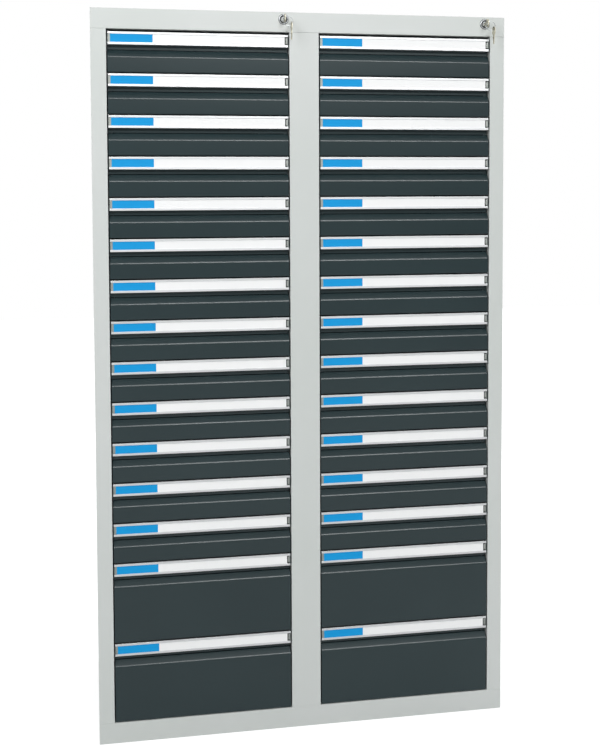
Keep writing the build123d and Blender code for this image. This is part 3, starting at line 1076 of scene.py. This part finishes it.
end_tree(ring_tree, wire.outputs["Mesh"], given.outputs["Finish"])
print("split ring tree has", len(ring_tree.nodes), "nodes")

# %% [markdown]
# The helix is wound round Z from zero upwards. Each mesh is lowered by half its height, turned
# upright and moved to where the frame has the ring, so that it hangs across the key's bow.

# %% Hang both rings
ring_values = {**ring_sizes, "Finish": ring_steel}
for side in columns:
    low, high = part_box(f"{side}_key_ring")
    ring = run_tree(ring_tree, bpy.data.meshes.new("ring_seed"), ring_values, "ring_winding")
    ring.name = f"{side}_split_ring"
    ring.transform(Matrix.Translation((0, 0, -ring_turns * wire_thickness / 2)))
    ring.transform(Matrix.Rotation(math.radians(90), 4, "X"))
    ring.transform(Matrix.Translation((low + high) / 2))
    for polygon in ring.polygons:
        polygon.use_smooth = True
    ring.set_sharp_from_angle(angle=sharp_angle)
    add_piece(ring.name, ring, [], f"{side}_ring", [f"{side}_key_ring"])
    print(ring.name, "has", len(ring.polygons), "faces")

# %% [markdown]
# ## Rivets
# Rivets hold the runners, the slide rails and the back panel. They repeat, so one tree sets a
# head on each point of a cloud. A head is a low dome of few faces, because there are hundreds.

# %% Build the rivet tree
head_segments, head_rings = 12, 6
rivet_inputs = {
    "Geometry": "NodeSocketGeometry",
    "Radius": "NodeSocketFloat",
    "Height": "NodeSocketFloat",
    "Facing": "NodeSocketVector",
    "Finish": "NodeSocketMaterial",
}
rivet_tree, given = new_tree("rivet_heads", rivet_inputs)
dome = add_node(
    rivet_tree,
    "GeometryNodeMeshUVSphere",
    {"Segments": head_segments, "Rings": head_rings},
    {"Radius": given.outputs["Radius"]},
)
flatness = add_node(
    rivet_tree,
    "ShaderNodeMath",
    links={0: given.outputs["Height"], 1: given.outputs["Radius"]},
    operation="DIVIDE",
)
squeeze = add_node(
    rivet_tree, "ShaderNodeCombineXYZ", {"X": 1.0, "Y": 1.0}, {"Z": flatness.outputs[0]}
)
head = add_node(
    rivet_tree,
    "GeometryNodeTransform",
    links={"Geometry": dome.outputs["Mesh"], "Scale": squeeze.outputs[0]},
)
turned = add_node(
    rivet_tree,
    "FunctionNodeAlignRotationToVector",
    links={"Vector": given.outputs["Facing"]},
    axis="Z",
)
heads = add_node(
    rivet_tree,
    "GeometryNodeInstanceOnPoints",
    links={
        "Points": given.outputs["Geometry"],
        "Instance": head.outputs["Geometry"],
        "Rotation": turned.outputs["Rotation"],
    },
)
end_tree(rivet_tree, heads.outputs["Instances"], given.outputs["Finish"])
print("rivet tree has", len(rivet_tree.nodes), "nodes")

# %% [markdown]
# The tree turns all heads of a cloud the same way, so each side of a body gets a cloud of its
# own. The heads of one body are then put together in one mesh, which rides on that body.

# %% Set rivets on points
back_head = (4.8 * MM, 1.5 * MM)
runner_head = (3.2 * MM, 0.5 * MM)
rail_head = (3.2 * MM, 0.6 * MM)


def set_rivets(name, groups, body, head):
    """groups is a list of (points, facing), and head is the radius and height of a head."""
    radius, height = head
    whole = bmesh.new()
    for points, facing in groups:
        cloud = bpy.data.meshes.new("rivet_points")
        cloud.from_pydata([tuple(p) for p in points], [], [])
        values = {"Radius": radius, "Height": height, "Facing": facing, "Finish": zinc_plate}
        whole.from_mesh(run_tree(rivet_tree, cloud, values, "rivet_setting"))
    for face in whole.faces:
        face.smooth = True
    add_piece(name, to_mesh(whole, name), [zinc_plate], body)


print("heads are up to", round(2 * back_head[0] / MM, 1), "mm wide")

# %% [markdown]
# The back panel's rivets sit in a row along each side and two along the middle upright, about
# 190 mm apart. They could be modelled one by one, but a list of points is all the tree needs.

# %% Rivet the back panel
back_rows = 10
edge_inset = 10 * MM
row_margin = 40 * MM
middle_inset = 28 * MM
back_low, back_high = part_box("back_panel")
row_start = back_low.z + row_margin
row_reach = back_high.z - back_low.z - 2 * row_margin
row_z = [row_start + row_reach * i / (back_rows - 1) for i in range(back_rows)]
row_x = (back_low.x + edge_inset, -middle_inset, middle_inset, back_high.x - edge_inset)
back_points = [(x, back_high.y, z) for x in row_x for z in row_z]
set_rivets("back_rivets", [(back_points, (0, 1, 0))], "cabinet", back_head)
print(len(back_points), "rivets in the back")

# %% [markdown]
# A runner is a channel that opens towards its drawer, with two flat rivets inside, where the
# slide rail passes with only 0.8 mm to spare. So the left column's outer runners and the right
# column's inner ones face right, and the others face left.

# %% Rivet the runners
rivet_drop = -(rail_high + rail_low) / 2
front_inset, rear_inset = 20 * MM, 30 * MM
runner_groups = []
for node in runner_nodes:
    low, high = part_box(node)
    faces_right = node in ("left_outer_runners", "right_inner_runners")
    web = low.x + runner_sheet if faces_right else high.x - runner_sheet
    column = node.split("_")[0]
    points = [
        (web, y, drawer["place"].z - rivet_drop)
        for name, drawer in drawers.items()
        if name.startswith(column)
        for y in (low.y + front_inset, high.y - rear_inset)
    ]
    runner_groups.append((points, (1 if faces_right else -1, 0, 0)))
set_rivets("runner_rivets", runner_groups, "cabinet", runner_head)
print(sum(len(points) for points, facing in runner_groups), "rivets in the runners")

# %% [markdown]
# Each slide rail is held by three flat rivets, whose heads lie in its channel.

# %% Rivet the slide rails
rail_y = (70 * MM, 240 * MM, 410 * MM)
for node, drawer in drawers.items():
    groups = []
    for side in (-1, 1):
        x = side * (tray_half + rail_sheet)
        points = [drawer["place"] + Vector((x, y, -rivet_drop)) for y in rail_y]
        groups.append((points, (side, 0, 0)))
    set_rivets(f"{node}_rivets", groups, node, rail_head)
print("riveted", len(drawers), "pairs of slide rails")

# %% [markdown]
# ## Studio
# The photograph has a white ground and soft light from above and in front. The floor and the
# world look white to the camera, while the light they give stays plain, so that every colour
# renders about as it is written. Metal mirrors a room that is white behind the cabinet and
# darker in front of it, so its edges stand out. The floor keeps a faint shadow.

# %% Make the floor
floor_half = 9.0
glow_by_distance = {"From Min": 1.0, "From Max": 3.5, "To Min": 0.6, "To Max": 1.0}
mirrored_glow = 0.2
pure_white = (1, 1, 1, 1)
paper = {"Base Color": hex_colour("#C8C8C8"), "Roughness": 0.9, "Emission Color": pure_white}
floor_white, tree, shader, place = new_finish("white_studio_floor", paper)
distance = add_node(tree, "ShaderNodeVectorMath", links={0: place}, operation="LENGTH")
far_away = add_node(
    tree, "ShaderNodeMapRange", glow_by_distance, {"Value": distance.outputs["Value"]}
)
rays = add_node(tree, "ShaderNodeLightPath")
looked_at = add_node(
    tree,
    "ShaderNodeMath",
    {1: mirrored_glow},
    {0: rays.outputs["Is Glossy Ray"], 2: rays.outputs["Is Camera Ray"]},
    operation="MULTIPLY_ADD",
)
seen = add_node(
    tree,
    "ShaderNodeMath",
    links={0: looked_at.outputs[0], 1: far_away.outputs["Result"]},
    operation="MULTIPLY",
)
tree.links.new(seen.outputs[0], shader.inputs["Emission Strength"])
shape = bmesh.new()
bmesh.ops.create_grid(shape, x_segments=8, y_segments=8, size=floor_half)
floor = new_object("studio_floor", to_mesh(shape, "studio_floor"))
floor.data.materials.append(floor_white)
floor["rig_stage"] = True
print("floor is", 2 * floor_half, "m wide")

# %% [markdown]
# The world is the room's own light, brighter from above. Rays from the camera see it as plain
# white, and mirrors see it white behind the cabinet and dark in front.

# %% Light the world
ground_light, sky_light = 0.118, 0.364
light_by_height = {"From Min": -0.1, "From Max": 0.9, "To Min": ground_light, "To Max": sky_light}
mirror_by_depth = {"From Min": -0.5, "From Max": 0.1, "To Min": 0.1, "To Max": 1.0}
world = bpy.data.worlds.new("studio")
bpy.context.scene.world = world
world.use_nodes = True
tree = world.node_tree
tree.nodes.clear()
rays = add_node(tree, "ShaderNodeLightPath")
shiny = add_node(
    tree,
    "ShaderNodeMath",
    links={0: rays.outputs["Is Glossy Ray"], 1: rays.outputs["Is Transmission Ray"]},
    operation="MAXIMUM",
)
place = add_node(tree, "ShaderNodeTexCoord").outputs["Object"]
direction = add_node(tree, "ShaderNodeSeparateXYZ", links={0: place})
ceiling = add_node(
    tree, "ShaderNodeMapRange", light_by_height, {"Value": direction.outputs["Z"]}
)
backdrop = add_node(
    tree, "ShaderNodeMapRange", mirror_by_depth, {"Value": direction.outputs["Y"]}
)
mirrored = add_node(
    tree,
    "ShaderNodeMath",
    links={0: shiny.outputs[0], 1: backdrop.outputs["Result"]},
    operation="MULTIPLY",
)
seen = add_node(
    tree,
    "ShaderNodeMath",
    links={0: rays.outputs["Is Camera Ray"], 1: mirrored.outputs[0]},
    operation="MAXIMUM",
)
room = add_node(
    tree,
    "ShaderNodeBackground",
    {"Color": hex_colour("#F7F9FA")},
    {"Strength": ceiling.outputs["Result"]},
)
ground = add_node(tree, "ShaderNodeBackground", {"Color": pure_white, "Strength": 1.0})
mixed = add_node(
    tree,
    "ShaderNodeMixShader",
    links={0: seen.outputs[0], 1: room.outputs[0], 2: ground.outputs[0]},
)
add_node(tree, "ShaderNodeOutputWorld", links={"Surface": mixed.outputs[0]})
print("room gives light of strength", ground_light, "from below and", sky_light, "from above")

# %% [markdown]
# The main light is a wide softbox far in front, about 30 degrees up, where only the rounded
# folds throw it back to the camera. A nearer one at the left, higher up, makes the cabinet's
# top paler than its foot. One beside the case on each side and one behind it reach only the
# sides that they face, and keep them readable.

# %% Set up the softboxes


def softbox(name, place, aim, size, watts):
    """A rectangular lamp of a width and height, turned from its place towards its aim."""
    lamp = bpy.data.lights.new(name, "AREA")
    lamp.shape = "RECTANGLE"
    lamp.size, lamp.size_y = size
    lamp.energy = watts
    box = new_object(name, lamp)
    box.location = place
    box.rotation_euler = (Vector(aim) - Vector(place)).to_track_quat("-Z", "Y").to_euler()
    box.visible_camera = False
    return box


boxes = [
    softbox("main_softbox", (1.2, -6.5, 4.5), (0, 0, 1.0), (4.2, 0.8), 267),
    softbox("left_softbox", (-2.3, -2.1, 3.0), (0, -0.2, 1.7), (1.6, 1.6), 41),
    softbox("right_softbox", (3.0, 0.3, 2.4), (0.5, 0, 1.0), (1.6, 1.6), 30),
    softbox("far_left_softbox", (-3.0, 0.3, 2.4), (-0.5, 0, 1.0), (1.6, 1.6), 24),
    softbox("back_softbox", (0.6, 3.2, 2.4), (0, 0.2, 0.9), (2.0, 1.0), 56),
]
print(len(boxes), "softboxes,", sum(box.data.energy for box in boxes), "W")

# %% [markdown]
# ## Camera
# The photograph was taken from left of the middle and from about eye level, with the view
# shifted down so that the uprights stay nearly upright. The place and the angles below were
# fitted to the cabinet's corners in the photograph.

# %% Place the camera
photo_height = 750
focal_pixels = 1100
shift_pixels = -127.26
sensor = 36.0
yaw, pitch, roll = math.radians(10.378), math.radians(3), -0.00398
camera_place = Vector((-0.5064, -2.9471, 1.3673))
ahead = Vector(
    (math.sin(yaw) * math.cos(pitch), math.cos(yaw) * math.cos(pitch), -math.sin(pitch))
)
level = Vector((math.cos(yaw), -math.sin(yaw), 0))
upright = level.cross(ahead)
right = level * math.cos(roll) + upright * math.sin(roll)
up = upright * math.cos(roll) - level * math.sin(roll)
lens = bpy.data.cameras.new("photo_camera")
lens.sensor_width = sensor
lens.lens = focal_pixels * sensor / photo_height
lens.shift_y = shift_pixels / photo_height
camera = new_object("photo_camera", lens)
camera.matrix_world = Matrix(
    (
        (right.x, up.x, -ahead.x, camera_place.x),
        (right.y, up.y, -ahead.y, camera_place.y),
        (right.z, up.z, -ahead.z, camera_place.z),
        (0, 0, 0, 1),
    )
)
bpy.context.scene.camera = camera
bpy.context.scene.view_settings.view_transform = "Standard"
print("lens", round(lens.lens, 1), "mm, shift", round(lens.shift_y, 4))

# %% [markdown]
# ## Sizes
# Dressing a CAD part must not make it bigger, so both boxes are written down and compared.

# %% Write the sizes and finish
bpy.context.view_layer.update()
seen_low, seen_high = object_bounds()
growth = [(seen - cad) / MM for seen, cad in zip((*seen_low, *seen_high), (*cad_low, *cad_high))]
print("grown by mm", [round(step, 2) for step in growth])
